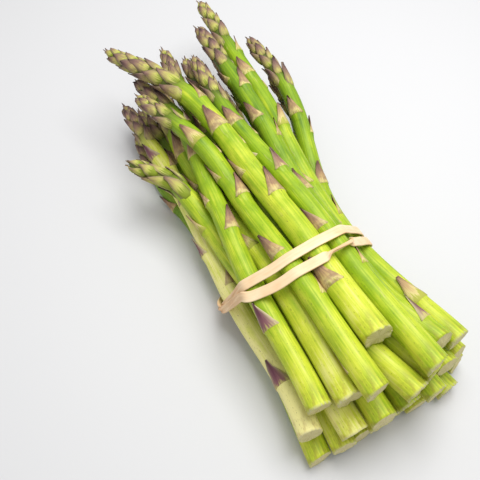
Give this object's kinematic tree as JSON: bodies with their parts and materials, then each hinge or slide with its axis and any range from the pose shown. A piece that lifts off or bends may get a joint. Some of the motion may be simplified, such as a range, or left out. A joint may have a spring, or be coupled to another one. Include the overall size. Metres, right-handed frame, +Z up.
{
  "type": "bundle of asparagus",
  "caption": "Bundle of green asparagus spears lying on its side, cut ends level, scaly heads fanned out, held together by a rubber band.",
  "frame": {"origin": "bottom centre of the whole bunch, on the surface that it lies on", "axes": "+Y along the spears towards the heads, +X across the bunch, +Z up"},
  "size_m": [0.1158, 0.2758, 0.0634],
  "materials": {
    "asparagus": "fresh yellow-green skin with a soft gloss, tan and mauve scales, pale fibrous cut ends",
    "band_rubber": "pale peach natural rubber, matt"
  },
  "bodies": {
    "root": {"spear_01": "asparagus", "spear_02": "asparagus", "spear_03": "asparagus", "spear_04": "asparagus", "spear_05": "asparagus", "spear_06": "asparagus", "spear_07": "asparagus", "spear_08": "asparagus", "spear_09": "asparagus", "spear_10": "asparagus", "spear_11": "asparagus", "spear_12": "asparagus", "spear_13": "asparagus", "spear_14": "asparagus", "spear_15": "asparagus", "spear_16": "asparagus", "spear_17": "asparagus", "spear_18": "asparagus", "spear_19": "asparagus", "spear_20": "asparagus", "spear_21": "asparagus", "spear_22": "asparagus", "spear_23": "asparagus", "spear_24": "asparagus", "spear_25": "asparagus", "spear_26": "asparagus", "rubber_band": "band_rubber"}
  },
  "joints": []
}
